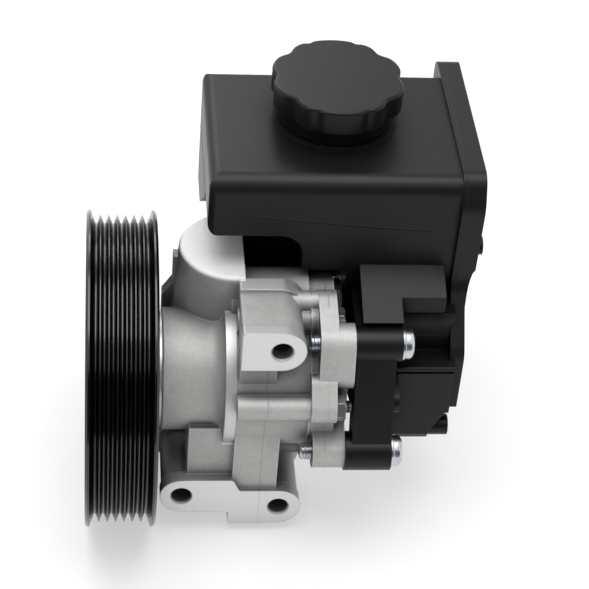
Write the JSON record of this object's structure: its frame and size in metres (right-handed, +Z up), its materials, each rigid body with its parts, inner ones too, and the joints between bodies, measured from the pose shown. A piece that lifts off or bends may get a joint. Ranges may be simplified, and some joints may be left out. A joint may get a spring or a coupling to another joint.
{
  "type": "power steering pump",
  "caption": "Belt-driven vane pump for power steering: ribbed pulley, cast housing with bored mounting bosses, rear cover and a bolted-on plastic oil tank with a screw cap.",
  "frame": {"origin": "on the shaft axis at the middle of the belt track", "axes": "+X along the shaft from the pulley to the reservoir's rear cover, +Z up with the filler cap on top, and the mounting bosses face -Y"},
  "size_m": [0.1677, 0.169, 0.183],
  "materials": {
    "cast_aluminium": "as cast with machined faces",
    "black_paint": "gloss black",
    "ground_steel": "ground",
    "zinc_steel": "bright zinc",
    "bearing_steel": "polished",
    "spring_steel": "drawn",
    "seal_rubber": "matt",
    "sintered_steel": "ground faces",
    "vane_steel": "ground",
    "bush_bronze": "plain",
    "dark_steel": "phosphated",
    "black_plastic": "satin",
    "cap_plastic": "satin top, glossy grip",
    "dipstick_plastic": "plain",
    "filter_paper": "pleated paper"
  },
  "bodies": {
    "pump": {"pump_housing": "cast_aluminium", "rear_cover": "cast_aluminium", "reservoir_tank": "black_plastic", "reservoir_bracket": "black_plastic", "reservoir_rear_cover": "black_plastic", "bearing_outer_race": "bearing_steel", "bearing_circlip": "spring_steel", "shaft_seal": "seal_rubber", "front_port_plate": "sintered_steel", "rear_port_plate": "sintered_steel", "cam_ring": "sintered_steel", "dowel_pins": "ground_steel", "port_plate_spring": "spring_steel", "cover_o_ring": "seal_rubber", "cover_bolts": "zinc_steel", "rear_bush": "bush_bronze", "valve_spring": "spring_steel", "valve_plug": "dark_steel", "valve_plug_seal": "seal_rubber", "suction_seal_ring": "seal_rubber", "bolt_sleeves": "zinc_steel", "reservoir_bolts": "zinc_steel", "filter_element": "filter_paper", "filter_spring": "spring_steel"},
    "shaft": {"pulley": "black_paint", "pulley_hub": "black_paint", "drive_shaft": "ground_steel", "shaft_key": "ground_steel", "pulley_washer": "zinc_steel", "pulley_nut": "zinc_steel", "bearing_inner_race": "bearing_steel", "rotor": "sintered_steel", "rotor_circlip": "spring_steel"},
    "ball_set": {"bearing_balls": "bearing_steel", "ball_cage": "bearing_steel"},
    "spool": {"valve_spool": "ground_steel"},
    "cap_ring": {"cap_seal": "seal_rubber"},
    "cap": {"filler_cap": "cap_plastic", "dipstick": "dipstick_plastic"},
    "vane_01": {"vane_01": "vane_steel"},
    "vane_02": {"vane_02": "vane_steel"},
    "vane_03": {"vane_03": "vane_steel"},
    "vane_04": {"vane_04": "vane_steel"},
    "vane_05": {"vane_05": "vane_steel"},
    "vane_06": {"vane_06": "vane_steel"},
    "vane_07": {"vane_07": "vane_steel"},
    "vane_08": {"vane_08": "vane_steel"},
    "vane_09": {"vane_09": "vane_steel"},
    "vane_10": {"vane_10": "vane_steel"}
  },
  "joints": [
    {"name": "shaft_spin", "type": "hinge", "parent": "pump", "child": "shaft", "pos_m": [0, 0, 0], "axis": [1, 0, 0], "continuous": true},
    {"name": "ball_orbit", "type": "hinge", "parent": "pump", "child": "ball_set", "pos_m": [0.025, 0, 0], "axis": [1, 0, 0], "continuous": true},
    {"name": "valve_slide", "type": "slide", "parent": "pump", "child": "spool", "axis": [-1, 0, 0], "range_m": [0, 0.004], "stiffness_N_per_m": 3000, "springref_m": -0.002, "deforming": ["valve_spring"]},
    {"name": "cap_turn", "type": "hinge", "parent": "pump", "child": "cap_ring", "pos_m": [0.09, 0.056, 0.109], "axis": [0, 0, 1], "range_deg": [0, 720]},
    {"name": "cap_rise", "type": "slide", "parent": "cap_ring", "child": "cap", "axis": [0, 0, 1], "range_m": [0, 0.0063]},
    {"name": "vane_01_slide", "type": "slide", "parent": "shaft", "child": "vane_01", "axis": [0, -0.9877, 0.1564], "range_m": [0, 0.00255]},
    {"name": "vane_02_slide", "type": "slide", "parent": "shaft", "child": "vane_02", "axis": [0, -0.7071, 0.7071], "range_m": [0, 0.0015]},
    {"name": "vane_03_slide", "type": "slide", "parent": "shaft", "child": "vane_03", "axis": [0, -0.1564, 0.9877], "range_m": [0, 0.00045]},
    {"name": "vane_04_slide", "type": "slide", "parent": "shaft", "child": "vane_04", "axis": [0, 0.454, 0.891], "range_m": [0, 0.00085]},
    {"name": "vane_05_slide", "type": "slide", "parent": "shaft", "child": "vane_05", "axis": [0, 0.891, 0.454], "range_m": [0, 0.00215]},
    {"name": "vane_06_slide", "type": "slide", "parent": "shaft", "child": "vane_06", "axis": [0, 0.9877, -0.1564], "range_m": [0, 0.00255]},
    {"name": "vane_07_slide", "type": "slide", "parent": "shaft", "child": "vane_07", "axis": [0, 0.7071, -0.7071], "range_m": [0, 0.0015]},
    {"name": "vane_08_slide", "type": "slide", "parent": "shaft", "child": "vane_08", "axis": [0, 0.1564, -0.9877], "range_m": [0, 0.00045]},
    {"name": "vane_09_slide", "type": "slide", "parent": "shaft", "child": "vane_09", "axis": [0, -0.454, -0.891], "range_m": [0, 0.00085]},
    {"name": "vane_10_slide", "type": "slide", "parent": "shaft", "child": "vane_10", "axis": [0, -0.891, -0.454], "range_m": [0, 0.00215]}
  ],
  "couplings": [
    {"joint": "ball_orbit", "follows": "shaft_spin", "ratio": 0.4018},
    {"joint": "cap_rise", "follows": "cap_turn", "m_per_rad": 0.00047746}
  ]
}
